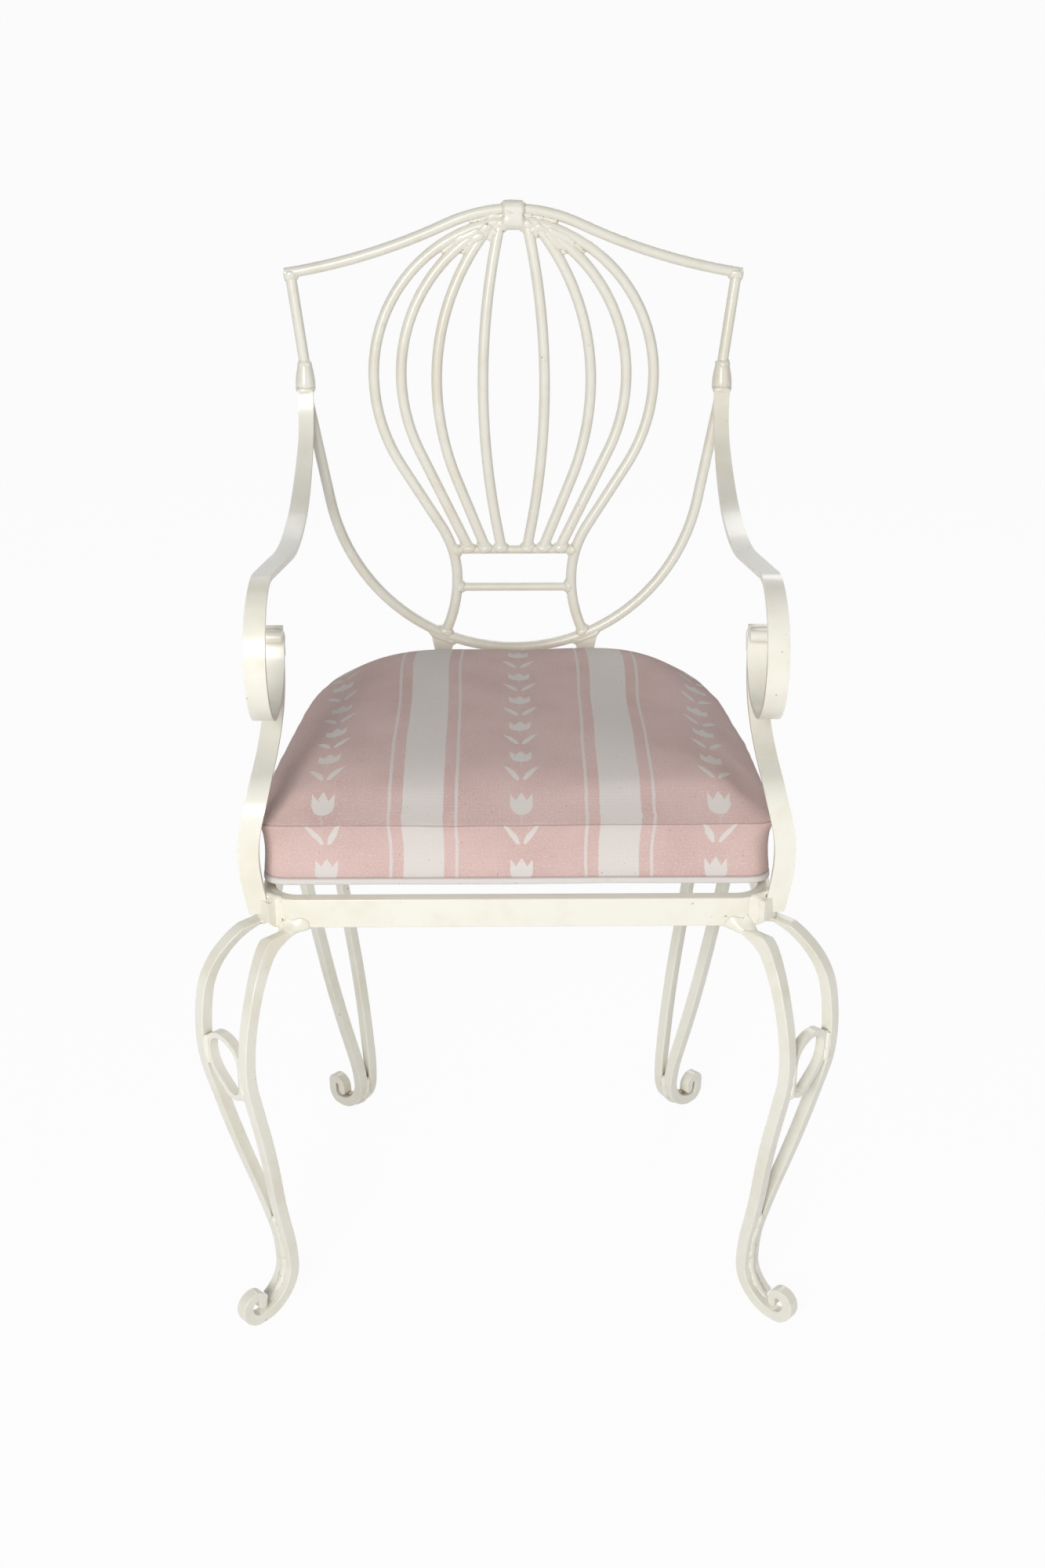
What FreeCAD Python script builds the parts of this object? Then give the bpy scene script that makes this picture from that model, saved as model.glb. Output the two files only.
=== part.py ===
"""Wrought garden armchair with a balloon back, cabriole legs and a loose seat cushion.

Lengths are in millimetres and angles in degrees. +X is the sitter's left, seen from
the front as right, +Y points to the back and +Z up. The origin is on the floor, under
the middle of the chair's outline.
"""
import FreeCAD, Part
import math
import os
import Sketcher

Vector = FreeCAD.Vector
Rotation = FreeCAD.Rotation
Placement = FreeCAD.Placement

# Driving sizes
SIZES = {
    # place of the seat's front face, behind the middle of the outline
    "seat_front": -195.5,
    # seat rail, a flat bar on edge bent to a horseshoe
    "rail_bottom": 373.0,
    "rail_height": 25.0,
    "rail_thickness": 10.0,
    "seat_half_width": 204.0,
    "seat_depth": 405.0,
    "seat_corner": 30.0,
    "seat_round": 133.0,
    # flat straps across the seat, under the cushion
    "strap_width": 22.0,
    "strap_thickness": 4.0,
    "strap_first": 110.0,
    "strap_pitch": 100.0,
    # the back's plane and its rods
    "back_lean": 5.0,
    "rod_diameter": 10.0,
    "basket_diameter": 8.0,
    # top rod, which lies on the balloon
    "dome_radius": 147.5,
    "dome_turn": 24.0,
    "sweep_radius": 579.0,
    # shield: uprights, collars and hoop
    "shield_half_width": 204.5,
    "collar_half_width": 194.5,
    "collar_bottom": 313.0,
    "collar_height": 24.0,
    "collar_mouth": 18.4,
    "collar_neck": 12.6,
    "hoop_radius": 178.0,
    "hoop_middle": 241.8,
    # balloon, with its belly measured down from its crown
    "arch_rise": 464.0,
    "arch_radius": 60.0,
    "belly_drop": 139.0,
    "belly_half_width": 130.6,
    "waist_half_width": 55.0,
    "waist_height": 133.0,
    "flare_radius": 124.0,
    "upper_bar_rise": 160.9,
    "lower_bar_rise": 124.3,
    # brackets between the rail and the hoop
    "bracket_middle": 70.0,
    "bracket_width": 14.6,
    "bracket_flare": 24.0,
    "bracket_thickness": 5.0,
    # clip round the two top rods
    "clip_width": 16.0,
    "clip_thickness": 3.0,
    "clip_gap": 0.1,
    # arms: flat straps with a loop and a rolled bead
    "arm_inner": 186.8,
    "arm_width": 16.6,
    "arm_rear_width": 15.2,
    "arm_bend_width": 13.2,
    "arm_thickness": 5.0,
    "arm_drop": 30.0,
    "arm_low": 610.0,
    "arm_reach": 174.0,
    "loop_radius": 54.5,
    "loop_middle": 52.0,
    "loop_height": 591.5,
    "loop_floor": 15.0,
    "loop_back_radius": 44.0,
    "loop_back_turn": 82.0,
    "curl_radius": 9.0,
    "curl_turn": 133.0,
    "bead_diameter": 10.0,
    # arm supports
    "support_width": 16.5,
    "support_thickness": 5.5,
    "support_bulge": 210.5,
    "support_front": 2.0,
    "support_foot": 8.0,
    "weld_seat": 0.5,
    "block_width": 15.0,
    "block_thickness": 9.0,
    "block_height": 22.0,
    # legs, two square bars each, with the knees measured down from the rail
    "leg_bar": 10.0,
    "foot_flat": 0.5,
    "front_knee": 43.0,
    "front_knee_drop": 98.0,
    "front_ankle": -4.2,
    "front_foot_radius": 36.0,
    "front_top_spread": 16.0,
    "front_spread": 29.0,
    "front_join": 98.0,
    "rear_place": 22.7,
    "rear_knee": 2.0,
    "rear_knee_drop": 97.0,
    "rear_ankle": -51.5,
    "rear_foot_radius": 33.0,
    "rear_top_spread": 26.0,
    "rear_spread": 23.0,
    "rear_join": 35.0,
    # knee rings of the front legs
    "ring_height": 55.0,
    "ring_drop": 10.0,
    "ring_bar": 5.0,
    "ring_depth": 8.0,
    # loose cushion
    "cushion_front": 12.0,
    "cushion_back": 17.0,
    "cushion_flat": 78.0,
    "cushion_side_radius": 870.0,
    "cushion_side_turn": 16.4,
    "cushion_corner": 16.0,
    "cushion_rest": 0.3,
    "cushion_sag": 6.5,
    "cushion_band": 52.0,
    "cushion_crown": 23.0,
    "cushion_draw": 3.5,
}

# How much of the bend from belly to waist is curved, and the belly's part of it
BALLOON_CURVED = 0.89
BALLOON_BELLY_PART = 0.62

# Ribs: belly half width, belly below the balloon's, foot, curved share, half width at the top
RIBS = {
    "inner": (28.8, 10.0, 12.0, 0.884, 12.2),
    "middle": (72.0, 5.0, 27.0, 0.696, 22.0),
    "outer": (105.0, 0.0, 43.0, 0.628, 32.0),
}

# Legs: arcs up from the knee (radius, angle), then the radii below the knee and at the ankle
LEG_ARCS = {
    "front": ([(190.0, 14.0), (86.0, 31.0), (40.0, 27.0)], 130.0, 170.0),
    "rear": ([(1500.0, 4.0)], 150.0, 120.0),
}
# How far the foot turns under where it has no scroll
FOOT_TURN = {"front": 62.0, "rear": 80.0}
# Scrolls: outer radius or run, angle, and the bar's thickness there as a share of its size
SCROLLS = {
    "front": [(20.5, 90.0, 1.0), (14.0, 90.0, 0.9), (11.0, 90.0, 0.85)],
    "rear": [(13.5, 90.0, 1.0), (8.0, 0.0, 1.0), (11.8, 180.0, 0.96)],
}
SCROLL_TIP = 5.0

# Cushion sections: inset, and height as a share of the sag, the band or the crown
SOLE = ((34.0, 0.0), (12.0, 0.35), (0.0, 1.0))
BAND = ((0.0, 0.0), (0.75, 0.22), (1.0, 0.5), (0.75, 0.78), (0.0, 1.0))
CROWN = ((0.0, 0.0), (5.0, 0.16), (14.0, 0.34), (30.0, 0.58), (52.0, 0.77), (80.0, 0.92), (112.0, 1.0))

doc = FreeCAD.newDocument("garden_armchair")
sheet = doc.addObject("Spreadsheet::Sheet", "Sizes")
nodes = []


def fill_sheet():
    for row, (name, value) in enumerate(SIZES.items(), start=1):
        sheet.set(f"A{row}", name)
        sheet.set(f"B{row}", str(value))
        sheet.setAlias(f"B{row}", name)
    doc.recompute()


def size(name):
    return float(sheet.get(name))


class Path:
    """A line walked in one plane by straight runs and turns, with the bar's half thickness."""

    def __init__(self, start, heading, half=0.0):
        self.start = start
        self.heading = heading
        self.half = half
        self.steps = []

    def straight(self, length):
        self.steps.append(("run", length, 0.0, None, None))
        return self

    def turn(self, radius, angle, left=None, right=None):
        """A positive angle turns left. Left and right give the two edges' own radii."""
        self.steps.append(("turn", radius, angle, left, right))
        return self

    def corner(self, points):
        """Runs from point to point, with each corner rounded as far as its runs allow."""
        runs = [math.dist(a, b) for a, b in zip(points, points[1:])]
        ways = [math.degrees(math.atan2(b[1] - a[1], b[0] - a[0])) for a, b in zip(points, points[1:])]
        last = len(runs) - 1
        taken = 0.0
        for i in range(last):
            before = runs[i] if i == 0 else runs[i] / 2
            after = runs[i + 1] if i + 1 == last else runs[i + 1] / 2
            bend = (ways[i + 1] - ways[i] + 180) % 360 - 180
            reach = min(before, after)
            self.straight(runs[i] - taken - reach)
            self.turn(reach / math.tan(math.radians(abs(bend)) / 2), bend)
            taken = reach
        return self.straight(runs[last] - taken)

    def end(self):
        heading = self.heading + sum(step[2] for step in self.steps)
        return self.walk(0)[-1][2], heading

    def walk(self, side):
        """List (start, middle, end) for each step along the centre or one edge."""
        x, y = self.start
        way = math.radians(self.heading)
        x -= side * self.half * math.sin(way)
        y += side * self.half * math.cos(way)
        found = []
        for kind, amount, angle, left, right in self.steps:
            first = (x, y)
            if kind == "run":
                if amount < 1e-6:
                    continue
                x += amount * math.cos(way)
                y += amount * math.sin(way)
                found.append((first, None, (x, y)))
                continue
            bend = math.radians(angle)
            hand = 1 if angle > 0 else -1
            own = {1: left, -1: right, 0: None}[side]
            radius = own if own is not None else amount - hand * side * self.half
            cx = x - hand * radius * math.sin(way)
            cy = y + hand * radius * math.cos(way)
            spots = []
            for share in (0.5, 1.0):
                at = way + share * bend
                spots.append((cx + hand * radius * math.sin(at), cy - hand * radius * math.cos(at)))
            way += bend
            x, y = spots[1]
            found.append((first, spots[0], spots[1]))
        return found

    def place_at(self, level, side=0):
        """The first coordinate where the line passes a level of the second one."""
        for first, middle, last in self.walk(side):
            marks = [first, last] if middle is None else [first, middle, last]
            for a, b in zip(marks, marks[1:]):
                if min(a[1], b[1]) <= level <= max(a[1], b[1]) and a[1] != b[1]:
                    return a[0] + (b[0] - a[0]) * (level - a[1]) / (b[1] - a[1])
        raise ValueError("the line does not reach this level")


def through(points, half=0.0):
    """A path along a chain of points with its corners rounded."""
    (x0, y0), (x1, y1) = points[:2]
    heading = math.degrees(math.atan2(y1 - y0, x1 - x0))
    return Path(points[0], heading, half).corner(points)


def flat(point):
    return Vector(point[0], point[1], 0)


def curve(first, middle, last):
    if middle is None:
        return Part.LineSegment(flat(first), flat(last))
    return Part.Arc(flat(first), flat(middle), flat(last))


def line_of(path, side=0):
    return [curve(*piece) for piece in path.walk(side)]


def band_of(path, nose=0.0):
    """The closed outline of a bar that follows the path. The nose rounds its end."""
    left = path.walk(1)
    right = path.walk(-1)
    return strip_of(left, right, path.end()[1], nose)


def strip_of(left, right, heading=0.0, nose=0.0):
    """The closed outline between two edges that run the same way."""
    back = [(c, b, a) for a, b, c in reversed(right)]
    tips = left[-1][2], back[0][0]
    crest = None
    if nose:
        way = math.radians(heading)
        crest = ((tips[0][0] + tips[1][0]) / 2 + nose * math.cos(way),
                 (tips[0][1] + tips[1][1]) / 2 + nose * math.sin(way))
    end = [(tips[0], crest, tips[1])]
    start = [(back[-1][2], None, left[0][0])]
    return [curve(*piece) for piece in left + end + back + start]


def outline_through(corners):
    return [curve(a, None, b) for a, b in zip(corners, corners[1:] + corners[:1])]


def mirrored(pieces):
    return [((-c[0], c[1]), b and (-b[0], b[1]), (-a[0], a[1])) for a, b, c in reversed(pieces)]


def cross_run(radius_one, middle_one, radius_two, middle_two):
    """Turn from the downward way and run between two circles passed on opposite sides.

    The first circle is passed on its outer side and the second on its inner side.
    """
    dx = middle_two[0] - middle_one[0]
    dy = middle_two[1] - middle_one[1]
    both = radius_one + radius_two
    square = dx * dx + dy * dy
    run = math.sqrt(square - both * both)
    turn = math.degrees(math.asin((-run * dx - both * dy) / square))
    return turn, run


# Sketches and bodies

def new_body(name, placement=None):
    body = doc.addObject("PartDesign::Body", name)
    if placement is not None:
        body.Placement = placement
    return body


def plane_of(body, role):
    return next(item for item in body.Origin.OriginFeatures if item.Role == role)


def sketch_on(body, role, curves, name):
    sketch = body.newObject("Sketcher::SketchObject", name)
    sketch.AttachmentSupport = [(plane_of(body, role), "")]
    sketch.MapMode = "FlatFace"
    fixed(sketch, curves)
    return sketch


def fixed(sketch, curves):
    for item in curves:
        number = sketch.addGeometry(item, False)
        sketch.addConstraint(Sketcher.Constraint("Block", number))


def pad(name, role, curves, depth, placement=None, centred=True):
    """A plate: an outline on one of the body's planes, padded by an expression."""
    body = new_body(name, placement)
    sketch = sketch_on(body, role, curves, name + "_outline")
    feature = body.newObject("PartDesign::Pad", name + "_pad")
    feature.Profile = sketch
    feature.Midplane = centred
    feature.setExpression("Length", depth)
    body.Tip = feature
    return body


def rod(name, pieces, diameter, placement):
    """A round bar along a line in the body's XZ plane."""
    body = new_body(name, placement)
    spine = sketch_on(body, "XZ_Plane", [curve(*piece) for piece in pieces], name + "_line")
    first, middle, last = pieces[0]
    ahead = middle if middle is not None else last
    way = math.atan2(ahead[1] - first[1], ahead[0] - first[0])
    if middle is not None:
        whole = math.atan2(last[1] - first[1], last[0] - first[0])
        way = 2 * way - whole
    section = body.newObject("Sketcher::SketchObject", name + "_section")
    along = Vector(math.cos(way), 0, math.sin(way))
    section.Placement = Placement(Vector(first[0], 0, first[1]), Rotation(Vector(0, 0, 1), along))
    circle = section.addGeometry(Part.Circle(Vector(0, 0, 0), Vector(0, 0, 1), size(diameter) / 2), False)
    section.addConstraint(Sketcher.Constraint("Coincident", circle, 3, -1, 1))
    number = section.addConstraint(Sketcher.Constraint("Diameter", circle, size(diameter)))
    section.setExpression(f"Constraints[{number}]", f"Sizes.{diameter}")
    pipe = body.newObject("PartDesign::AdditivePipe", name + "_pipe")
    pipe.Profile = section
    pipe.Spine = (spine, [])
    body.Tip = pipe
    return body


def common(name, one, two):
    both = doc.addObject("Part::Common", name)
    both.Base = one
    both.Tool = two
    return both


def cut(name, base, tools):
    """The base with each tool taken out of it, so that the pieces meet face to face."""
    for number, tool in enumerate(tools):
        step = doc.addObject("Part::Cut", f"{name}_{number}")
        step.Base = base
        step.Tool = tool
        base = step
    return base


def fuse(name, one, two):
    both = doc.addObject("Part::Fuse", name)
    both.Base = one
    both.Tool = two
    return both


def mirror(name, source):
    twin = doc.addObject("Part::Mirroring", name)
    twin.Source = source
    twin.Base = Vector(0, 0, 0)
    twin.Normal = Vector(1, 0, 0)
    return twin


def keep(label, item):
    """Name a finished sub-part. Its file takes the same name."""
    item.Label = label
    nodes.append(item)
    return item


def keep_pair(name, item):
    """Keep a piece of the +X side and its mirror image."""
    keep("left_" + name, item)
    return item, keep("right_" + name, mirror("mirror_" + name, item))


# Frames of reference

def seat_frame(rise=0.0):
    return Placement(Vector(0, size("seat_front"), rise), Rotation())


def back_frame(forward=0.0):
    """The leaning plane of the back, from the top of the rear rail's middle."""
    lean = size("back_lean")
    foot_y = size("seat_front") + size("seat_depth") - size("rail_thickness") / 2
    turn = Rotation(Vector(1, 0, 0), -lean)
    foot = Vector(0, foot_y, rail_top())
    return Placement(foot + turn.multVec(Vector(0, -forward, 0)), turn)


def back_point(rise, forward=0.0):
    """Depth behind the seat's front and height of a point in the back's plane."""
    spot = back_frame(forward).multVec(Vector(0, 0, rise))
    return spot.y - size("seat_front"), spot.z


def front_leg_frame():
    """Upright plane through the front corner. Outward is the local X axis."""
    return Placement(Vector(size("seat_half_width"), size("seat_front"), 0), Rotation(Vector(0, 0, 1), -45))


def rear_leg_frame():
    """Upright plane that starts on the rail's rear round."""
    way = math.radians(size("rear_place"))
    reach = size("seat_round") - size("rail_thickness") / 2
    x = size("seat_half_width") - size("seat_round") + reach * math.cos(way)
    y = size("seat_depth") - size("seat_round") + reach * math.sin(way)
    return Placement(Vector(x, y + size("seat_front"), 0), Rotation(Vector(0, 0, 1), 45))


def rail_top():
    return size("rail_bottom") + size("rail_height")


# Seat

def seat_outline(inset):
    """The horseshoe's outline, from the middle of the front, drawn in by an inset."""
    half = size("seat_half_width") - inset
    corner = size("seat_corner") - inset
    rounding = size("seat_round") - inset
    side = size("seat_depth") - size("seat_round") - size("seat_corner")
    back = size("seat_half_width") - size("seat_round")
    path = Path((0, inset), 0).straight(half - corner).turn(corner, 90).straight(side)
    path.turn(rounding, 90).straight(back)
    half_way = path.walk(0)
    return [curve(*piece) for piece in half_way + mirrored(half_way)]


def make_seat():
    rise = size("rail_bottom")
    outer = seat_outline(0)
    inner = seat_outline(size("rail_thickness"))
    rail = pad("rail", "XY_Plane", outer + inner, "Sizes.rail_height", seat_frame(rise), False)
    keep("seat_rail", rail)
    inside = pad("rail_inside", "XY_Plane", inner, "Sizes.rail_height", seat_frame(rise), False)
    for number, place in enumerate(("front", "middle", "rear")):
        bar = doc.addObject("Part::Box", "strap_bar_" + place)
        bar.setExpression("Length", "2 * Sizes.seat_half_width")
        bar.setExpression("Width", "Sizes.strap_width")
        bar.setExpression("Height", "Sizes.strap_thickness")
        depth = size("strap_first") + number * size("strap_pitch") - size("strap_width") / 2
        corner = Vector(-size("seat_half_width"), size("seat_front") + depth, rail_top() - size("strap_thickness"))
        bar.Placement = Placement(corner, Rotation())
        keep(f"{place}_seat_strap", common("strap_" + place, bar, inside))
    return rail


# Back

def make_top_rod():
    """A dome with two hollow sweeps. Returns the rod and the rise of its corners."""
    dome = math.radians(size("dome_turn"))
    end = size("shield_half_width") + size("rod_diameter") / 2
    width = end - size("dome_radius") * math.sin(dome)
    last = math.asin(math.sin(dome) - width / size("sweep_radius"))
    path = Path((0, size("arch_rise") + size("rod_diameter")), 0)
    path.turn(size("dome_radius"), -size("dome_turn"))
    path.turn(size("sweep_radius"), size("dome_turn") - math.degrees(last))
    half = path.walk(0)
    top = rod("top_rod", mirrored(half) + half, "rod_diameter", back_frame())
    return keep("top_rod", top), path.end()[0][1]


def make_collar():
    """A bell turned round the joint of the upright, the hoop and the arm."""
    neck = size("collar_neck") / 2
    mouth = size("collar_mouth") / 2
    tall = size("collar_height")
    flare = mouth - neck
    lip = (mouth, tall / 4)
    throat = (neck + flare / 4, tall * 0.85)
    hollow = (mouth - flare / 3, tall * 0.6)
    curves = [curve((0, 0), None, (mouth, 0)), curve((mouth, 0), None, lip), curve(lip, hollow, throat),
              curve(throat, None, (neck, tall)), curve((neck, tall), None, (0, tall)),
              curve((0, tall), None, (0, 0))]
    placement = back_frame()
    base = placement.multVec(Vector(size("collar_half_width"), 0, size("collar_bottom")))
    body = new_body("collar_body", Placement(base, placement.Rotation))
    sketch = sketch_on(body, "XZ_Plane", curves, "collar_profile")
    turned = body.newObject("PartDesign::Revolution", "collar_turned")
    turned.Profile = sketch
    turned.ReferenceAxis = (sketch, ["V_Axis"])
    turned.Angle = 360
    body.Tip = turned
    return keep_pair("collar", body)


def make_upright(top_rod, corner_rise):
    """A straight rod from the shield's corner down into the collar's neck."""
    low = (size("collar_half_width"), size("collar_bottom") + size("collar_height"))
    high = (size("shield_half_width"), corner_rise)
    stem = rod("upright_rod", [(low, None, high)], "rod_diameter", back_frame())
    over = 2 * size("rod_diameter")
    below = outline_through([(low[0] - over, low[1] - over), (low[0] + over, low[1] - over),
                             (low[0] + over, low[1]), (low[0] - over, low[1])])
    collar_top = pad("upright_end", "XZ_Plane", below, "3 * Sizes.rod_diameter", back_frame())
    keep_pair("upright", cut("upright", stem, [top_rod, collar_top]))


def make_hoop(collars):
    """A half round below the collars, with straight ends that lean in to them."""
    radius = size("hoop_radius")
    middle = size("hoop_middle")
    dx = size("collar_half_width")
    dy = size("collar_bottom") - middle
    reach = math.hypot(dx, dy)
    run = math.sqrt(reach * reach - radius * radius)
    angle = math.degrees(math.atan2(dy, dx) - math.atan2(run, radius)) + 90
    half = Path((0, middle - radius), 0).turn(radius, angle).straight(run).walk(0)
    bar = rod("hoop_rod", mirrored(half) + half, "rod_diameter", back_frame())
    keep("shield_hoop", cut("hoop", bar, collars))
    return bar


def belly_rise():
    return size("arch_rise") - size("belly_drop")


def balloon_half():
    """Right half of the balloon's outer rod, from its crown down to the hoop."""
    crown = size("arch_radius")
    belly = size("belly_half_width")
    tall = size("belly_drop")
    side = (belly ** 2 + (tall - crown) ** 2 - crown ** 2) / (2 * (belly - crown))
    side_turn = math.degrees(math.atan2(tall - crown, side - belly))
    across = belly - size("waist_half_width")
    drop = belly_rise() - size("waist_height")
    both = BALLOON_CURVED * (across ** 2 + drop ** 2) / (2 * across)
    bulge = both * BALLOON_BELLY_PART
    hollow = both - bulge
    belly_middle = (belly - bulge, belly_rise())
    waist_middle = (size("waist_half_width") + hollow, size("waist_height"))
    lean, run = cross_run(bulge, belly_middle, hollow, waist_middle)
    path = Path((0, size("arch_rise")), 0)
    path.turn(crown, side_turn - 90).turn(side, -side_turn)
    path.turn(bulge, -lean).straight(run).turn(hollow, lean)
    foot = size("waist_height") - hoop_rise(size("bracket_middle")) - size("rod_diameter") / 6
    return path.turn(size("flare_radius"), math.degrees(math.asin(foot / size("flare_radius"))))


def hoop_rise(x):
    return size("hoop_middle") - math.sqrt(size("hoop_radius") ** 2 - x ** 2)


def make_balloon(hoop):
    half = balloon_half()
    pieces = half.walk(0)
    arch = rod("balloon_rod", mirrored(pieces) + pieces, "rod_diameter", back_frame())
    keep("balloon_outer_rod", cut("balloon", arch, [hoop]))
    bars = []
    for name in ("upper", "lower"):
        rise = size(name + "_bar_rise")
        reach = half.place_at(rise)
        bar = rod(name + "_bar_rod", [((-reach, rise), None, (reach, rise))], "basket_diameter", back_frame())
        bars.append(keep(name + "_basket_bar", cut(name + "_bar", bar, [arch])))
    return arch, bars[0]


def rib_path(belly, lower_by, foot, curved, top):
    """Down from under the arch, round the belly and straight to the upper bar."""
    crown = size("arch_radius")
    height = belly_rise() - lower_by
    rise = size("arch_rise") - crown + math.sqrt(crown ** 2 - top ** 2) - size("rod_diameter") / 8
    over = belly - top
    tall = rise - height
    upper = (over ** 2 + tall ** 2) / (2 * over)
    start = math.degrees(math.asin(tall / upper))
    across = belly - foot
    drop = height - size("upper_bar_rise")
    lean = 2 * curved * math.atan2(across, drop)
    sine = math.sin(lean)
    cosine = math.cos(lean)
    lower = (drop * sine - across * cosine) / (1 - cosine)
    run = (sine * across - (1 - cosine) * drop) / (1 - cosine)
    path = Path((top, rise), start - 90)
    return path.turn(upper, -start).turn(lower, -math.degrees(lean)).straight(run)


def make_ribs(arch, upper_bar, clip):
    before = clip
    for name, measures in RIBS.items():
        pieces = rib_path(*measures).walk(0)
        rib = rod(name + "_rib_rod", pieces, "rod_diameter", back_frame())
        keep_pair(name + "_rib", cut(name + "_rib", rib, [arch, upper_bar, before]))
        before = rib


def make_brackets(rail, hoop, arch):
    middle = size("bracket_middle")
    half = size("bracket_width") / 2
    wide = size("bracket_flare") / 2
    neck = hoop_rise(middle) * 0.75
    low = -size("bracket_thickness") / 4
    inner = (middle - wide, hoop_rise(middle - wide) - half / 4)
    outer = (middle + wide, hoop_rise(middle + wide) - half / 4)
    corners = [(middle - half, low), (middle + half, low), (middle + half, neck),
               outer, inner, (middle - half, neck)]
    plate = pad("bracket_plate", "XZ_Plane", outline_through(corners), "Sizes.bracket_thickness", back_frame())
    keep_pair("back_bracket", cut("bracket", plate, [rail, hoop, arch]))


def stadium(radius, low, high):
    path = Path((radius, low), 90)
    path.straight(high - low).turn(radius, 180).straight(high - low).turn(radius, 180)
    return line_of(path)


def make_clip():
    """A strap wrapped round the top rod and the balloon's rod together."""
    inner = size("rod_diameter") / 2 + size("clip_gap")
    outer = inner + size("clip_thickness")
    sag = size("clip_width") ** 2 / 8 / size("arch_radius")
    low = size("arch_rise") - sag
    high = size("arch_rise") + size("rod_diameter")
    curves = stadium(outer, low, high) + stadium(inner, low, high)
    return keep("top_clip", pad("clip_strap", "YZ_Plane", curves, "Sizes.clip_width", back_frame()))


# Arms

def arm_side():
    """The arm seen from the side: down from the collar, forward, and round the loop."""
    half = size("arm_thickness") / 2
    before = size("rod_diameter") / 2 + half * 0.8
    start = back_point(size("collar_bottom"), before)
    below = back_point(size("collar_bottom") - size("arm_drop"), before)
    low = size("arm_low")
    rear = back_point((low - rail_top()) / math.cos(math.radians(size("back_lean"))))[0]
    dip = (rear - size("arm_reach"), low)
    slope = (dip[0] + 0.6 * size("arm_reach"), low + 0.5 * size("arm_drop"))
    radius = size("loop_radius")
    middle = (size("loop_middle"), size("loop_height"))
    reach = math.dist(dip, middle)
    aim = math.degrees(math.atan2(middle[1] - dip[1], middle[0] - dip[0])) % 360
    way = aim - math.degrees(math.asin(radius / reach))
    run = math.sqrt(reach ** 2 - radius ** 2)
    touch = (dip[0] + run * math.cos(math.radians(way)), dip[1] + run * math.sin(math.radians(way)))
    side = through([start, below, slope, dip, touch], half)
    side.turn(radius, 360 - way).straight(size("loop_floor"))
    side.turn(size("loop_back_radius"), size("loop_back_turn"))
    return side.turn(size("curl_radius"), size("curl_turn"))


def arm_face():
    """The arm seen from the front: straight inside, and slimmer outside at the bend."""
    inner = size("arm_inner")
    top = size("collar_bottom") + rail_top() + size("collar_height")
    bend = size("arm_low") + 2 * size("arm_drop")
    low = size("loop_height") - 2 * size("loop_radius")
    outer = [(inner + size("arm_rear_width"), top), (inner + size("arm_rear_width"), bend + 2 * size("arm_drop")),
             (inner + size("arm_bend_width"), bend), (inner + size("arm_width"), bend - 1.5 * size("arm_drop")),
             (inner + size("arm_width"), low)]
    return strip_of(through(outer).walk(0), through([(inner, top), (inner, low)]).walk(0))


def make_arm(collar, hoop):
    side = arm_side()
    middle = size("arm_inner") + size("arm_width") / 2
    placement = Placement(Vector(middle, size("seat_front"), 0), Rotation())
    strap = pad("arm_side", "YZ_Plane", band_of(side), "6 * Sizes.arm_width", placement)
    face = pad("arm_front", "XZ_Plane", arm_face(), "3 * Sizes.seat_depth", seat_frame())
    bead = doc.addObject("Part::Cylinder", "arm_bead")
    bead.setExpression("Radius", "Sizes.bead_diameter / 2")
    bead.setExpression("Height", "Sizes.arm_width")
    (y, z), heading = side.end()
    bead.Placement = Placement(Vector(size("arm_inner"), size("seat_front") + y, z), Rotation(Vector(0, 1, 0), 90))
    whole = fuse("arm_whole", common("arm_bar", strap, face), bead)
    arm = cut("arm", whole, [collar, hoop])
    keep_pair("arm", arm)
    return arm


def support_side():
    """The support seen from the side: from the loop's back forward and down to the rail."""
    half = size("support_thickness") / 2
    reach = math.sin(math.radians(size("loop_back_turn")))
    loop_back = size("loop_middle") + size("loop_floor") + size("loop_back_radius") * reach
    back = loop_back + size("curl_radius") * (1 - reach) + size("arm_thickness") / 2 + half - size("weld_seat")
    loop_low = size("loop_height") - size("loop_radius")
    front = size("support_front")
    points = [(back, loop_low + 0.9 * size("loop_radius")), (back, loop_low + 2), (back - 52, loop_low - 37),
              (front + 6, loop_low - 51), (front, rail_top() + 45), (size("support_foot"), rail_top() - 15)]
    return through(points, half)


def support_face():
    """The support seen from the front: in under the loop and out to its bulge."""
    span = size("arm_inner") + size("arm_width") / 2 + 1
    loop_low = size("loop_height") - size("loop_radius")
    bulge = size("support_bulge")
    points = [(span, size("loop_height") + size("loop_radius")), (span, loop_low - 32), (bulge, rail_top() + 50),
              (bulge, rail_top() + 20), (bulge - 5.5, rail_top() - 16)]
    return through(points, size("support_width") / 2)


def make_support(rail, arm):
    middle = size("arm_inner") + size("arm_width") / 2
    placement = Placement(Vector(middle, size("seat_front"), 0), Rotation())
    strap = pad("support_side", "YZ_Plane", band_of(support_side()), "6 * Sizes.support_width", placement)
    face = pad("support_front", "XZ_Plane", band_of(support_face()), "3 * Sizes.seat_depth", seat_frame())
    inner = -size("seat_corner") * (math.sqrt(2) - 1) - size("rail_thickness") / 2
    outer = inner + size("rail_thickness") / 2 + size("block_thickness")
    high = rail_top() - 2
    low = high - size("block_height")
    chamfer = size("block_thickness") / 2
    corners = [(inner, low), (outer - chamfer, low), (outer, low + chamfer), (outer, high), (inner, high)]
    block = pad("support_block", "XZ_Plane", outline_through(corners), "Sizes.block_width", front_leg_frame())
    whole = fuse("support_whole", common("support_bar", strap, face), block)
    keep_pair("arm_support", cut("support", whole, [rail, arm]))


# Legs

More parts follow.
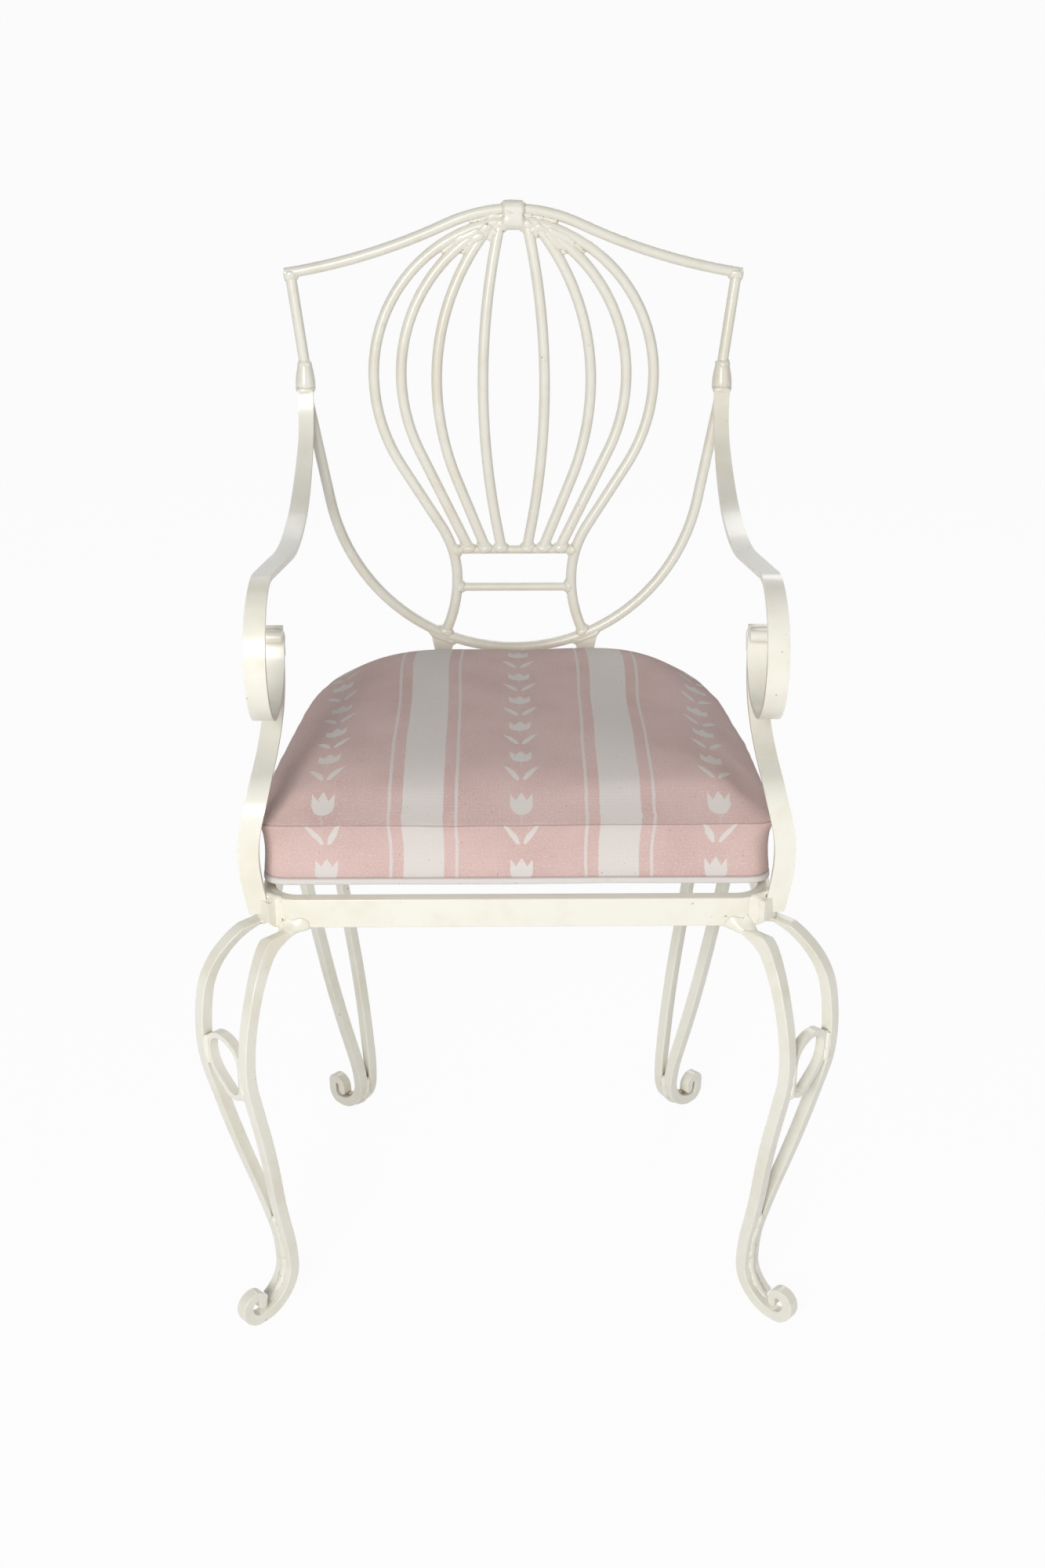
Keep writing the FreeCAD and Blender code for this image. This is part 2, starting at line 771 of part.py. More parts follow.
def knee_level(kind):
    return size("rail_bottom") - size(kind + "_knee_drop")


def leg_side(kind, scroll):
    """A leg bar seen from the side: outward and height, from the rail down."""
    half = size("leg_bar") / 2
    knee = size(kind + "_knee")
    foot = size(kind + "_foot_radius")
    rising, lower, ankle_radius = LEG_ARCS[kind]
    ankle = half - size("foot_flat") + foot
    lean, run = cross_run(lower, (knee - lower, knee_level(kind)), ankle_radius,
                          (size(kind + "_ankle") + ankle_radius, ankle))
    up = Path((knee, knee_level(kind)), 90)
    for radius, angle in rising:
        up.turn(radius, angle)
    (x, rise), way = up.end()
    over = (size("rail_bottom") - rise + size("leg_bar")) / math.sin(math.radians(way))
    top = up.straight(over).end()[0]
    path = Path(top, way - 180, half).straight(over)
    for radius, angle in reversed(rising):
        path.turn(radius, -angle)
    path.turn(lower, -lean).straight(run).turn(ankle_radius, lean)
    if not scroll:
        return path.turn(foot, FOOT_TURN[kind])
    path.turn(foot, 90)
    for outer, angle, share in SCROLLS[kind]:
        if angle:
            path.turn(outer, angle, outer - share * size("leg_bar"), outer)
        else:
            path.straight(outer)
    return path.straight(SCROLL_TIP)


def leg_front(kind, hand):
    """A leg bar seen along its outward way: across and height."""
    half = size("leg_bar") / 2
    rail = size("rail_bottom")
    spread = size(kind + "_spread")
    join = size(kind + "_join")
    knee = knee_level(kind)
    points = [(size(kind + "_top_spread"), rail), (spread + 1, rail - 32), (spread, knee + 20),
              (spread * 0.72, (knee + 2 * join) / 3 + 15), (half, join), (half, 0)]
    return through([(hand * x, y) for x, y in points], half)


def slab(name, low):
    """A wide block that trims the legs level at the rail and at the floor."""
    block = doc.addObject("Part::Box", name)
    block.setExpression("Length", "4 * Sizes.seat_half_width")
    block.setExpression("Width", "4 * Sizes.seat_depth")
    block.setExpression("Height", "4 * Sizes.rail_height")
    corner = Vector(-2 * size("seat_half_width"), -2 * size("seat_depth"), low)
    block.Placement = Placement(corner, Rotation())
    return block


def make_legs():
    ceiling = slab("above_legs", size("rail_bottom"))
    floor = slab("below_floor", -4 * size("rail_height"))
    fronts = {}
    bars = {}
    plans = (("front", "inner", -1, True), ("front", "outer", 1, False),
             ("rear", "outer", -1, True), ("rear", "inner", 1, False))
    for kind, which, hand, scroll in plans:
        name = f"{kind}_leg_{which}_bar"
        frame = front_leg_frame() if kind == "front" else rear_leg_frame()
        nose = size("leg_bar") * 0.35 if scroll else 0.0
        plate = pad(name + "_side", "XZ_Plane", band_of(leg_side(kind, scroll), nose), "12 * Sizes.leg_bar", frame)
        front = leg_front(kind, hand)
        face = pad(name + "_face", "YZ_Plane", band_of(front), "40 * Sizes.leg_bar", frame)
        bar = cut(name, common(name + "_whole", plate, face), [ceiling, floor])
        keep_pair(name, bar)
        if kind == "front":
            bars[which] = bar
            fronts[which] = front
    make_rings(bars, fronts)


def make_rings(bars, fronts):
    """A flat bar ring set between the two bars of each front leg at the knee."""
    middle = knee_level("front") - size("ring_drop")
    tall = size("ring_height")
    low = middle - tall / 2
    high = middle + tall / 2
    seat = size("weld_seat")
    left = fronts["inner"].place_at(middle, 1) - seat
    right = fronts["outer"].place_at(middle, -1) + seat
    wide = right - left
    points = [(left, middle + tall / 15), (left, low + tall / 15), (left + wide * 0.35, low - tall / 20),
              (right, middle - tall / 8), (right, high - tall / 10), (left + wide / 2, high + tall / 20),
              (left, high - tall / 5), (left, middle + tall / 15)]
    outer = through(points)
    inner = through(points, size("ring_bar"))
    frame = front_leg_frame()
    place = Placement(frame.multVec(Vector(size("front_knee") - 1.5, 0, 0)), frame.Rotation)
    ring = pad("knee_ring_flat", "YZ_Plane", line_of(outer) + line_of(inner, 1), "Sizes.ring_depth", place)
    keep_pair("knee_ring", cut("knee_ring", ring, [bars["inner"], bars["outer"]]))


# Cushion

def cushion_section(inset):
    """The cushion's plan, drawn in by an inset, from the middle of its front."""
    front = size("cushion_front") + inset
    back = size("seat_depth") - size("cushion_back") - inset
    half_front = size("seat_half_width") - inset
    corner = size("cushion_corner") + inset * 0.12
    turn = size("cushion_side_turn")
    sine = math.sin(math.radians(turn))
    cosine = math.cos(math.radians(turn))
    share = (back - front) / (back - front + 2 * inset)
    full = size("cushion_side_radius")
    side = full * share - inset / 2
    rounding = share * (size("seat_half_width") - size("cushion_flat") - full * (1 - cosine)) / cosine
    path = Path((0, front), 0).straight(half_front - corner).turn(corner, 90)
    path.straight(back - front - corner - side * sine - rounding * (1 - sine))
    path.turn(side, turn).turn(rounding, 90 - turn)
    path.straight(path.end()[0][0])
    half = path.walk(0)
    return [curve(*piece) for piece in half + mirrored(half)]


def cushion_level(body, name, inset, rise):
    sketch = body.newObject("Sketcher::SketchObject", name)
    sketch.AttachmentSupport = [(plane_of(body, "XY_Plane"), "")]
    sketch.MapMode = "FlatFace"
    sketch.AttachmentOffset = Placement(Vector(0, 0, rise), Rotation())
    fixed(sketch, cushion_section(inset))
    return sketch


def make_cushion():
    """Box cushion: rounded underside, drawn-in band and crowned top."""
    body = new_body("cushion_body", seat_frame(rail_top() + size("cushion_rest")))
    sag = size("cushion_sag")
    band = size("cushion_band")
    groups = {
        "under": [(inset, share * sag) for inset, share in SOLE],
        "side": [(share * size("cushion_draw"), sag + rise * band) for share, rise in BAND],
        "top": [(inset, sag + band + share * size("cushion_crown")) for inset, share in CROWN],
    }
    for name, levels in groups.items():
        sections = [cushion_level(body, f"cushion_{name}_{i}", *level) for i, level in enumerate(levels)]
        loft = body.newObject("PartDesign::AdditiveLoft", "cushion_" + name)
        loft.Profile = sections[0]
        loft.Sections = sections[1:]
        loft.Ruled = True
        body.Tip = loft
    keep("seat_cushion", body)


def check_objects():
    doc.recompute()
    faults = [item.Label for item in doc.Objects if "Invalid" in item.State or "Error" in item.State]
    for item in nodes:
        shape = item.Shape
        if shape.isNull() or not shape.isValid() or not shape.Solids:
            faults.append(item.Label)
    if faults:
        raise RuntimeError("not built: " + ", ".join(faults))


def write_parts():
    os.makedirs("parts", exist_ok=True)
    for item in nodes:
        item.Shape.exportStep(f"parts/{item.Label}.step")


def main():
    fill_sheet()
    rail = make_seat()
    top_rod, corner_rise = make_top_rod()
    collars = make_collar()
    make_upright(top_rod, corner_rise)
    hoop = make_hoop(collars)
    arch, upper_bar = make_balloon(hoop)
    clip = make_clip()
    make_ribs(arch, upper_bar, clip)
    make_brackets(rail, hoop, arch)
    arm = make_arm(collars[0], hoop)
    make_support(rail, arm)
    make_legs()
    make_cushion()
    check_objects()
    write_parts()


main()
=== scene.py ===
"""Garden armchair: thick cream enamel over welded iron, with a loose striped box cushion.

Lengths are in metres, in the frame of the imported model: +Z up, the sitter faces -Y.
"""
import math

import bmesh
import bpy
import numpy as np
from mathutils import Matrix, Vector, noise
from mathutils.bvhtree import BVHTree


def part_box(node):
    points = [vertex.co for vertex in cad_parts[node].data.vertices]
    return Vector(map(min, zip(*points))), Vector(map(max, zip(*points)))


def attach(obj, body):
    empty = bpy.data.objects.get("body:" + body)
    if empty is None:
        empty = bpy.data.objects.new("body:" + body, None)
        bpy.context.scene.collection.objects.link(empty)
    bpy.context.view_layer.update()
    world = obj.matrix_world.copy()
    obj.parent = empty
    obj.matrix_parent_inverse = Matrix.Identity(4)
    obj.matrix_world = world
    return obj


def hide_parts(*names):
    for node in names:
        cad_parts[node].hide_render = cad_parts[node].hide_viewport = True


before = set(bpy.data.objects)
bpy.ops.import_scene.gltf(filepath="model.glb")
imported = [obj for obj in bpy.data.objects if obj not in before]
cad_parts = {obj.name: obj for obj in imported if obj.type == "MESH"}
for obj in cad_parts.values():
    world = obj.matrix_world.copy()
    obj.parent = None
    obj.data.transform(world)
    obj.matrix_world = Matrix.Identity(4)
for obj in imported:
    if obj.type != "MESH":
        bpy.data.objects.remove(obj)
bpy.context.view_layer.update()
MM = 0.001

# Camera, fitted to the photograph
CAMERA_PLACE = (-7.2 * MM, -1456.9 * MM, 1072.0 * MM)
CAMERA_TILT = 65.54
CAMERA_YAW = -0.52
CAMERA_LENS = 41.4

# Colours, as they look on screen
ENAMEL = (241, 238, 225)
WARM_TONE_AND_CORNER_SHADE = (229, 221, 197)
PATINA_AND_CORNER_SHADE = (140, 112, 72)
CHIP = (128, 131, 135)
PINK = (226, 194, 188)
PINK_SOILED = (215, 182, 175)
CREAM_PRINT = (232, 226, 220)
LINING = (236, 233, 229)
THREAD = (128, 98, 92)
FLOOR_PAINT = (226, 226, 226)


def linear(colour):
    """A screen colour as light."""
    parts = [c / 255 for c in colour]
    light = [c / 12.92 if c <= 0.04045 else ((c + 0.055) / 1.055) ** 2.4 for c in parts]
    return (*light, 1.0)


# Materials

# The Mix node's colour sockets, which share their names with its other kinds
COLOUR_A, COLOUR_B, COLOUR_RESULT = 6, 7, 2


class Finish:
    """A material being built: its nodes come from one method."""

    def __init__(self, name):
        self.material = bpy.data.materials.new(name)
        self.material.use_nodes = True
        self.tree = self.material.node_tree
        self.shader = self.tree.nodes["Principled BSDF"]

    def node(self, kind, settings=None, sockets=None, out=0):
        """A node with its settings, then the values or links of its sockets."""
        node = self.tree.nodes.new("ShaderNode" + kind)
        for name, value in (settings or {}).items():
            setattr(node, name, value)
        for name, value in (sockets or {}).items():
            self.join(value, node.inputs[name])
        return Wire(self, node.outputs[out])

    def join(self, value, socket):
        if isinstance(value, Wire):
            self.tree.links.new(value.socket, socket)
        else:
            socket.default_value = value

    def mix(self, share, first, second):
        sockets = {0: share, COLOUR_A: first, COLOUR_B: second}
        return self.node("Mix", {"data_type": "RGBA", "clamp_factor": True}, sockets, COLOUR_RESULT)

    def maths(self, operation, *values):
        return self.node("Math", {"operation": operation}, dict(enumerate(values)))

    def ramp(self, value, low, high):
        """0 at the low mark, 1 at the high one, smooth between."""
        sockets = {"Value": value, "From Min": low, "From Max": high}
        return self.node("MapRange", {"interpolation_type": "SMOOTHSTEP"}, sockets)

    def larger(self, *masks):
        most = masks[0]
        for mask in masks[1:]:
            most = self.maths("MAXIMUM", most, mask)
        return most

    def noise(self, where, scale, detail=3.0, roughness=0.55):
        sockets = {"Vector": where, "Scale": scale, "Detail": detail, "Roughness": roughness}
        return self.node("TexNoise", None, sockets)

    def place(self):
        return self.node("TexCoord", out="Object")

    def set(self, **values):
        """Values or links on the shader's own sockets."""
        for name, value in values.items():
            self.join(value, self.shader.inputs[name.replace("_", " ")])


class Wire:
    """A socket whose arithmetic adds Math nodes."""

    def __init__(self, finish, socket):
        self.finish = finish
        self.socket = socket

    def __add__(self, other):
        return self.finish.maths("ADD", self, other)

    __radd__ = __add__

    def __sub__(self, other):
        return self.finish.maths("SUBTRACT", self, other)

    def __rsub__(self, other):
        return self.finish.maths("SUBTRACT", other, self)

    def __mul__(self, other):
        return self.finish.maths("MULTIPLY", self, other)

    __rmul__ = __mul__

    def __truediv__(self, other):
        return self.finish.maths("DIVIDE", self, other)

    def other_output(self, name):
        return Wire(self.finish, self.socket.node.outputs[name])


# Enamel: how closely its unevenness repeats, and how far a corner holds its patina and painted
# shade
BRUSH_WAVES = 9.0
PATCHES = 48.0
GRAIN = 240.0
CHIP_CLUSTERS = 13.0
CHIP_SPOTS = 190.0
CORNER_REACH = 8 * MM
ENAMEL_RELIEF = 0.8 * MM


def make_enamel():
    """Thick cream enamel: soft brush waves, brown patina and painted shade in the corners, and a
    few chips.
    """
    finish = Finish("aged_cream_enamel")
    where = finish.place()
    broad = finish.noise(where, BRUSH_WAVES, 2.0)
    patchy = finish.noise(where, PATCHES, 4.0, 0.6)
    fine = finish.noise(where, GRAIN, 2.0, 0.5)
    warm = finish.ramp(broad * 0.55 + patchy * 0.45, 0.44, 0.66)
    base = finish.mix(warm * 0.5, linear(ENAMEL), linear(WARM_TONE_AND_CORNER_SHADE))
    # Ambient occlusion darkens corners and creases towards a warm tone, then brown: partly the
    # enamel's real patina, partly painted shade.
    open_air = finish.node("AmbientOcclusion", {"samples": 8}, {"Distance": CORNER_REACH}, out="AO")
    patina_and_painted_shade = 1 - open_air + (patchy - 0.5) * 0.5
    base = finish.mix(finish.ramp(patina_and_painted_shade, 0.30, 0.70) * 0.5, base, linear(WARM_TONE_AND_CORNER_SHADE))
    base = finish.mix(finish.ramp(patina_and_painted_shade, 0.50, 0.86) * 0.85, base, linear(PATINA_AND_CORNER_SHADE))
    clusters = finish.ramp(finish.noise(where, CHIP_CLUSTERS, 1.0), 0.50, 0.62)
    spots = finish.ramp(finish.noise(where, CHIP_SPOTS, 2.0, 0.45), 0.725, 0.75)
    chips = spots * clusters
    base = finish.mix(chips * 0.6, base, linear(CHIP))
    rough = 0.24 + fine * 0.10 + patchy * 0.06 + chips * 0.3
    height = broad * 0.9 + patchy * 0.32 + fine * 0.03 - chips * 0.12
    relief = {"Height": height, "Strength": 0.16, "Distance": ENAMEL_RELIEF}
    bump = finish.node("Bump", None, relief)
    finish.set(Base_Color=base, Roughness=rough, Normal=bump, Coat_Weight=0.3, Coat_Roughness=0.14)
    return finish.material


# Cushion print, measured along the cloth; an edge is where its colour starts and ends
COLUMN_PITCH = 156.4 * MM
COLUMN_MIDDLE = 3.5 * MM
STRIPE_EDGE = (15.6 * MM, 16.6 * MM)
LINE_FROM_STRIPE = 26.3 * MM
LINE_EDGE = (0.8 * MM, 1.7 * MM)
PLANT_PITCH = 58.0 * MM
PLANT_START = 19.7 * MM
LEAF_SLOPE = 1.35
LEAF_RISE = 1.0 * MM
LEAF_THICK = 4.6 * MM
LEAF_TIP = (16.5 * MM, 8 * MM)
LEAF_ROOT = (0.5 * MM, 4 * MM)
BOWL_RISE = 37 * MM
BOWL_DEEP = 9.3 * MM
BOWL_HALF = 9.4 * MM
PETAL_MIDDLE = 4.6 * MM
PETAL_TOP = 47 * MM
STEM_HALF = (0.5 * MM, 1.1 * MM)
STEM_FOOT = (18 * MM, 22 * MM)
STEM_HEAD = (29 * MM, 30 * MM)

# Cushion cloth: its unsteady print, how closely its threads repeat, and its seams
PRINT_WOBBLE = 160.0
SIDE_WOBBLE = 1.1 * MM
LENGTH_WOBBLE = 1.3 * MM
MOTTLE = 620.0
FADING = 16.0
FLECKS = 420.0
WEFT = 380.0
WARP = 300.0
SEAM_SOIL = 9 * MM
SEAM_LINE = (0.4 * MM, 1.3 * MM)
CLOTH_RELIEF = 0.3 * MM

# Panels of the cushion's cover
TOP, LINED, BOXED = 0, 1, 2


def make_cloth():
    """Woven print: dusty pink ground, cream stripes and lines, and columns of tulips."""
    finish = Finish("striped_tulip_canvas")
    cloth = finish.node("Attribute", {"attribute_name": "cloth"}, out="Vector")
    across = finish.node("SeparateXYZ", None, {0: cloth})
    along = across.other_output("Y")
    panel = across.other_output("Z")
    seam = finish.node("Attribute", {"attribute_name": "seam"}, out="Fac")
    lined = finish.maths("COMPARE", panel, LINED, 0.5)
    wobble = finish.noise(cloth, PRINT_WOBBLE, 2.0)
    across = across + (wobble - 0.5) * SIDE_WOBBLE
    column = finish.maths("WRAP", across - COLUMN_MIDDLE, COLUMN_PITCH / 2, -COLUMN_PITCH / 2)
    side = finish.maths("ABSOLUTE", column)
    stripe_gap = finish.maths("ABSOLUTE", side - COLUMN_PITCH / 2)
    stripe = 1 - finish.ramp(stripe_gap, *STRIPE_EDGE)
    line_gap = finish.maths("ABSOLUTE", stripe_gap - LINE_FROM_STRIPE)
    line = 1 - finish.ramp(line_gap, *LINE_EDGE)
    plant = plant_mask(finish, side, along + (wobble - 0.5) * LENGTH_WOBBLE)
    printed = finish.larger(stripe, line * 0.8, plant)
    mottle = finish.noise(cloth, MOTTLE, 3.0, 0.75)
    fading = finish.noise(cloth, FADING, 3.0)
    ground = finish.mix(finish.ramp(fading, 0.35, 0.75), linear(PINK), linear(PINK_SOILED))
    ground = finish.mix(finish.ramp(mottle, 0.46, 0.66) * 0.5, ground, linear(CREAM_PRINT))
    worn = printed * (1 - finish.ramp(mottle, 0.58, 0.80) * 0.35)
    colour = finish.mix(worn, ground, linear(CREAM_PRINT))
    colour = finish.mix(lined, colour, linear(LINING))
    weft = weave(finish, cloth, "Y", WEFT)
    warp = weave(finish, cloth, "X", WARP)
    threads = weft * 0.6 + warp * 0.4
    colour = finish.mix((1 - threads) * 0.26, colour, linear(THREAD))
    flecks = finish.ramp(finish.noise(cloth, FLECKS, 1.0, 0.4), 0.745, 0.77)
    colour = finish.mix(flecks * 0.45, colour, linear(THREAD))
    near_seam = 1 - finish.ramp(seam, 0.0, SEAM_SOIL)
    on_seam = 1 - finish.ramp(seam, *SEAM_LINE)
    colour = finish.mix(near_seam * 0.08 + on_seam * 0.38, colour, linear(THREAD))
    relief = {"Height": threads + mottle * 0.5, "Strength": 0.35, "Distance": CLOTH_RELIEF}
    bump = finish.node("Bump", None, relief)
    finish.set(Base_Color=colour, Roughness=0.92, Normal=bump)
    finish.set(Sheen_Weight=0.12, Sheen_Roughness=0.5, Specular_IOR_Level=0.2)
    return finish.material


def weave(finish, cloth, direction, scale):
    """One set of threads, a little uneven."""
    sockets = {"Vector": cloth, "Scale": scale, "Distortion": 1.5, "Detail": 1.0,
               "Detail Scale": 3.0}
    return finish.node("TexWave", {"bands_direction": direction}, sockets, out="Fac")


def plant_mask(finish, side, along):
    """A stem with two leaves and a three-pointed tulip, repeated up the cloth."""
    step = finish.maths("WRAP", along + PLANT_START, PLANT_PITCH, 0.0)
    leaf_gap = finish.maths("ABSOLUTE", step - side * LEAF_SLOPE - LEAF_RISE)
    taper = finish.ramp(side, *LEAF_TIP) * finish.ramp(side, *LEAF_ROOT)
    leaf = finish.ramp(taper * LEAF_THICK - leaf_gap, 0.0, 0.8 * MM)
    bowl_down = (step - BOWL_RISE) / BOWL_DEEP
    bowl_side = side / BOWL_HALF
    bowl = finish.maths("SQRT", bowl_side * bowl_side + bowl_down * bowl_down)
    tulip = 1 - finish.ramp(bowl, 0.92, 1.04)
    tulip = tulip * (1 - finish.ramp(step, BOWL_RISE + 1 * MM, BOWL_RISE + 1.5 * MM))
    petals = finish.maths("ABSOLUTE", side - PETAL_MIDDLE)
    notch_top = PETAL_TOP - (PETAL_MIDDLE - petals) * 1.5 - side * 0.1
    under_notch = 1 - finish.ramp(step - notch_top, -0.4 * MM, 0.4 * MM)
    crown = finish.ramp(BOWL_HALF - side, 0.0, 0.7 * MM) * under_notch
    crown = crown * finish.ramp(step, BOWL_RISE + 0.5 * MM, BOWL_RISE + 1 * MM)
    stem = (1 - finish.ramp(side, *STEM_HALF)) * finish.ramp(step, *STEM_FOOT) * 0.35
    stem = stem * (1 - finish.ramp(step, *STEM_HEAD))
    return finish.larger(leaf, tulip, crown, stem)


# Meshes

def link(name, mesh):
    piece = bpy.data.objects.new(name, mesh)
    bpy.context.scene.collection.objects.link(piece)
    return piece


def smooth_faces(mesh):
    mesh.polygons.foreach_set("use_smooth", [True] * len(mesh.polygons))


def apply_all(piece):
    """Keep the mesh that the modifiers give."""
    graph = bpy.context.evaluated_depsgraph_get()
    mesh = bpy.data.meshes.new_from_object(piece.evaluated_get(graph))
    piece.modifiers.clear()
    piece.data = mesh


def smooth(value):
    value = min(1.0, max(0.0, value))
    return value * value * (3 - 2 * value)


# Straps and bars, with edges as round as thick paint leaves them
SOFT_EDGES = {
    "seat_rail": 1.0, "top_clip": 0.8, "back_bracket": 0.9,
    "front_seat_strap": 0.8, "middle_seat_strap": 0.8, "rear_seat_strap": 0.8,
    "arm": 1.2, "arm_support": 1.2, "knee_ring": 1.0,
    "front_leg_inner_bar": 1.8, "front_leg_outer_bar": 1.8,
    "rear_leg_outer_bar": 1.6, "rear_leg_inner_bar": 1.6,
}
SHARP = math.radians(32)
FLAT = math.radians(0.5)
SAME_PLACE = 0.02 * MM


def soften(name, width):
    """Stand in for a node with its own shape, its sharp edges rounded by a width in mm."""
    shape = bmesh.new()
    shape.from_mesh(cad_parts[name].data)
    bmesh.ops.remove_doubles(shape, verts=shape.verts, dist=SAME_PLACE)
    bmesh.ops.dissolve_limit(shape, angle_limit=FLAT, verts=shape.verts, edges=shape.edges)
    sharp = [e for e in shape.edges if len(e.link_faces) == 2 and e.calc_face_angle() > SHARP]
    bmesh.ops.bevel(shape, geom=sharp, offset=width * MM, offset_type="OFFSET", segments=3,
                    profile=0.5, affect="EDGES", clamp_overlap=True)
    mesh = bpy.data.meshes.new(name + "_painted")
    shape.to_mesh(mesh)
    shape.free()
    smooth_faces(mesh)
    piece = link(name + "_painted", mesh)
    piece.modifiers.new("even", "WEIGHTED_NORMAL").keep_sharp = False
    apply_all(piece)
    piece.data.materials.append(cream_enamel)
    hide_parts(name)
    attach(piece, "chair_frame")


# Welds: a smooth fillet wherever two pieces of the frame touch
TOUCH = 0.8 * MM
RIB_TOUCH = 2.0 * MM
RIB_WELD = 9.0 * MM
LEG_TOP_WELD = 15.0 * MM
SUPPORT_WELD = 10.0 * MM
LEG_WELD = 9.0 * MM
PLAIN_WELD = 7.5 * MM
WELD_STEP = 1.5 * MM
WELD_SINK = 0.3 * MM
WELD_END = 3.0 * MM
WELD_APART = 8 * MM
WELD_UNEVEN = 120
DOT_STEP = 1.5 * MM
DOTS_ON_EDGE = 2.5 * MM


class Metal:
    """One piece of the frame, with its distance from any point."""

    def __init__(self, name):
        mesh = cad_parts[name].data
        self.name = name
        corners = np.array([v.co for v in mesh.vertices])
        self.low = corners.min(axis=0)
        self.high = corners.max(axis=0)
        faces = [face.vertices for face in mesh.polygons]
        self.tree = BVHTree.FromPolygons([v.co for v in mesh.vertices], faces)
        dots = [corners]
        for edge in mesh.edges:
            start, end = corners[list(edge.vertices)]
            steps = int(np.abs(end - start).max() / DOTS_ON_EDGE)
            if steps:
                dots.append(start + (end - start) * np.linspace(0, 1, steps + 2)[1:-1, None])
        self.dots = np.unique(np.round(np.concatenate(dots) / DOT_STEP), axis=0) * DOT_STEP

    def distance(self, point):
        return self.tree.find_nearest(point)[3]


def near_points(one, other, reach):
    """Places, a dot's step apart, where one piece lies at the other."""
    reach += 0.7 * MM
    points = one.dots
    inside = np.all((points > other.low - reach) & (points < other.high + reach), axis=1)
    return [p for p in points[inside] if other.distance(p) < reach and one.distance(p) < reach]


def groups(points, gap):
    """Points parted into groups that lie further apart than the gap."""
    left = set(range(len(points)))
    found = []
    while left:
        front = [left.pop()]
        group = []
        while front:
            i = front.pop()
            group.append(i)
            close = {j for j in left if np.abs(points[j] - points[i]).max() < gap}
            left -= close
            front += close
        found.append(points[sorted(group)])
    return found


def shell(values, corner, step):
    """Vertices and quads of the surface where a grid of values passes zero."""
    cells = tuple(n - 1 for n in values.shape)
    total = np.zeros(cells + (3,))
    count = np.zeros(cells)
    for axis in range(3):
        for first, second in ((0, 0), (0, 1), (1, 0), (1, 1)):
            low = [0] * 3
            low[(axis + 1) % 3], low[(axis + 2) % 3] = first, second
            high = list(low)
            high[axis] = 1
            a = values[tuple(slice(o, o + n) for o, n in zip(low, cells))]
            b = values[tuple(slice(o, o + n) for o, n in zip(high, cells))]
            crossing = (a < 0) != (b < 0)
            share = np.where(crossing, a / np.where(crossing, a - b, 1), 0)
            for k in range(3):
                total[..., k] += np.where(crossing, share if k == axis else low[k], 0)
            count += crossing
    mixed = count > 0
    index = np.full(cells, -1)
    index[mixed] = np.arange(mixed.sum())
    verts = corner + step * (np.argwhere(mixed) + total[mixed] / count[mixed][:, None])
    quads = []
    for axis in range(3):
        order = (axis, (axis + 1) % 3, (axis + 2) % 3)
        field = values.transpose(order)
        number = index.transpose(order)
        a = field[:-1, 1:-1, 1:-1]
        b = field[1:, 1:-1, 1:-1]
        for rising in (True, False):
            change = (a < 0) & (b >= 0) if rising else (a >= 0) & (b < 0)
            i, j, k = np.nonzero(change)
            quad = [number[i, j, k], number[i, j + 1, k],
                    number[i, j + 1, k + 1], number[i, j, k + 1]]
            quads.append(np.stack(quad if rising else quad[::-1], axis=1))
    return verts, np.concatenate(quads)


def fillet(one, other, touching, size):
    """The bead over one place where two pieces touch: thick where both are near."""
    spread = size * 0.75
    margin = spread + WELD_END + 2 * WELD_STEP
    low = touching.min(axis=0) - margin
    shape = np.ceil((touching.max(axis=0) + margin - low) / WELD_STEP).astype(int) + 1
    grid = low + WELD_STEP * np.stack(np.indices(shape), axis=-1).reshape(-1, 3)
    away = np.full(len(grid), 1.0)
    for point in touching:
        away = np.minimum(away, ((grid - point) ** 2).sum(axis=1))
    away = np.sqrt(away)
    values = np.full(len(grid), 5 * MM)
    for i in np.nonzero(away < spread + WELD_END)[0]:
        point = grid[i]
        a = one.distance(point)
        b = other.distance(point)
        uneven = noise.noise(Vector(point * WELD_UNEVEN))
        broad = size * (0.95 + 0.3 * uneven)
        together = max(broad - abs(a - b), 0) / broad
        fade = max(0.0, away[i] - spread) * 0.5
        values[i] = min(a, b) - together * together * broad / 4 + WELD_SINK + fade
    return shell(values.reshape(shape), low, WELD_STEP)


def weld_size(one, other):
    """How broad a weld is, and how near the two pieces come where it starts."""
    pair = one.name + " " + other.name
    if "_rib" in one.name and "_rib" in other.name:
        return RIB_WELD, RIB_TOUCH
    if "leg" in pair and "seat_rail" in pair:
        return LEG_TOP_WELD, TOUCH
    if "support" in pair and "seat_rail" in pair:
        return SUPPORT_WELD, TOUCH
    if "leg" in one.name and "leg" in other.name:
        return LEG_WELD, TOUCH
    return PLAIN_WELD, TOUCH


def make_welds():
    """All welds as one piece of the frame."""
    metals = [Metal(name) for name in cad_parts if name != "seat_cushion"]
    verts = []
    quads = []
    total = 0
    for i, one in enumerate(metals):
        for other in metals[i + 1:]:
            size, reach = weld_size(one, other)
            if np.any(one.low > other.high + reach) or np.any(other.low > one.high + reach):
                continue
            points = near_points(one, other, reach) + near_points(other, one, reach)
            if not points:
                continue
            for touching in groups(np.array(points), WELD_APART):
                more, faces = fillet(one, other, touching, size)
                verts.append(more)
                quads.append(faces + total)
                total += len(more)
    mesh = bpy.data.meshes.new("frame_welds")
    mesh.from_pydata(np.concatenate(verts), [], np.concatenate(quads))
    smooth_faces(mesh)
    welds = link("frame_welds", mesh)
    even = welds.modifiers.new("even", "SMOOTH")
    even.factor = 0.5
    even.iterations = 2
    apply_all(welds)
    welds.data.materials.append(cream_enamel)
    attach(welds, "chair_frame")


